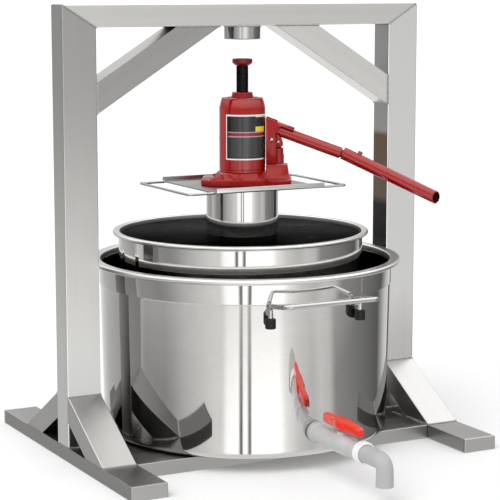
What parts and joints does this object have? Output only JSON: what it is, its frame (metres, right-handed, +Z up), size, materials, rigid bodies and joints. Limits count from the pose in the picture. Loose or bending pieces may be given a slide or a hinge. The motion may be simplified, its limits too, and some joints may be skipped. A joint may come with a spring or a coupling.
{
  "type": "hydraulic fruit press",
  "caption": "Fruit press: a portal frame holds a bottle jack that pushes a plate down into a straining pot inside a juice pot with a tap.",
  "frame": {"origin": "on the floor under the jack's axis, at the middle of the cross member's underside", "axes": "+X along the head beam to the right, +Y to the back, away from the tap, +Z up"},
  "size_m": [0.547, 0.6284, 0.6075],
  "materials": {
    "satin_steel": "satin",
    "polished_steel": "polished",
    "chrome": "bright",
    "red_enamel": "gloss",
    "blackened_steel": "blackened",
    "black_rubber": "matte",
    "white_plastic": "satin",
    "orange_plastic": "gloss"
  },
  "bodies": {
    "frame": {"left_post": "satin_steel", "right_post": "satin_steel", "top_beam": "satin_steel", "left_upper_brace": "satin_steel", "right_upper_brace": "satin_steel", "left_foot": "satin_steel", "right_foot": "satin_steel", "left_front_foot_cap": "satin_steel", "left_rear_foot_cap": "satin_steel", "right_front_foot_cap": "satin_steel", "right_rear_foot_cap": "satin_steel", "left_front_brace": "satin_steel", "left_rear_brace": "satin_steel", "right_front_brace": "satin_steel", "right_rear_brace": "satin_steel", "base_plate": "satin_steel", "cross_member": "satin_steel", "head_ring": "chrome", "juice_pot": "polished_steel", "juice_pot_rim": "polished_steel", "straining_pot": "polished_steel", "straining_pot_rim": "polished_steel", "front_pot_handle": "chrome", "rear_pot_handle": "chrome", "front_left_handle_cap": "black_rubber", "front_right_handle_cap": "black_rubber", "rear_left_handle_cap": "black_rubber", "rear_right_handle_cap": "black_rubber", "tap_seal": "black_rubber", "tap_nut": "white_plastic", "tap_body": "white_plastic", "tap_collar": "white_plastic", "tap_spout": "white_plastic"},
    "tap_valve": {"tap_ball": "chrome", "tap_lever": "orange_plastic"},
    "press": {"press_plate": "satin_steel", "press_column": "polished_steel", "jack_tray": "satin_steel", "left_tray_loop": "chrome", "right_tray_loop": "chrome", "jack_base": "red_enamel", "jack_tank": "red_enamel", "tank_packing": "black_rubber", "pressure_cylinder": "satin_steel", "top_nut": "red_enamel", "pump_barrel": "red_enamel", "pump_bracket": "red_enamel", "rocker_pivot": "chrome", "filler_plug": "black_rubber"},
    "release_valve": {"release_valve": "chrome"},
    "pump_handle": {"rocker": "red_enamel", "handle_lower_tube": "red_enamel", "handle_upper_tube": "red_enamel", "handle_lock_screw": "red_enamel"},
    "plunger": {"plunger": "chrome", "pump_pin": "chrome"},
    "ram": {"ram": "chrome"},
    "extension_screw": {"extension_screw": "blackened_steel"},
    "saddle": {"saddle": "red_enamel"}
  },
  "joints": [
    {"name": "tap_turn", "type": "hinge", "parent": "frame", "child": "tap_valve", "pos_m": [0, -0.27752, 0.053], "axis": [0, 0, 1], "range_deg": [0, 90]},
    {"name": "press_slide", "type": "slide", "parent": "frame", "child": "press", "axis": [0, 0, 1], "range_m": [-0.06, 0]},
    {"name": "ram_slide", "type": "slide", "parent": "press", "child": "ram", "axis": [0, 0, 1], "range_m": [0, 0.06]},
    {"name": "screw_rise", "type": "slide", "parent": "ram", "child": "extension_screw", "axis": [0, 0, 1], "range_m": [-0.034, 0.044]},
    {"name": "saddle_turn", "type": "hinge", "parent": "extension_screw", "child": "saddle", "pos_m": [0, 0, 0.5275], "axis": [0, 0, 1], "range_deg": [-3061, 3961]},
    {"name": "rocker_swing", "type": "hinge", "parent": "press", "child": "pump_handle", "pos_m": [0.03507, -0.02025, 0.4213], "axis": [-0.5, -0.866, 0], "range_deg": [0, 35]},
    {"name": "plunger_slide", "type": "slide", "parent": "press", "child": "plunger", "axis": [0, 0, 1], "range_m": [0, 0.0056]},
    {"name": "valve_turn", "type": "hinge", "parent": "press", "child": "release_valve", "pos_m": [0.05403, -0.01041, 0.3768], "axis": [0.5, 0.866, 0], "range_deg": [0, 360]}
  ],
  "couplings": [
    {"joint": "ram_slide", "follows": "press_slide", "ratio": -1},
    {"joint": "saddle_turn", "follows": "screw_rise", "rad_per_m": 1570.8},
    {"joint": "plunger_slide", "follows": "rocker_swing", "m_per_rad": 0.0091275}
  ]
}
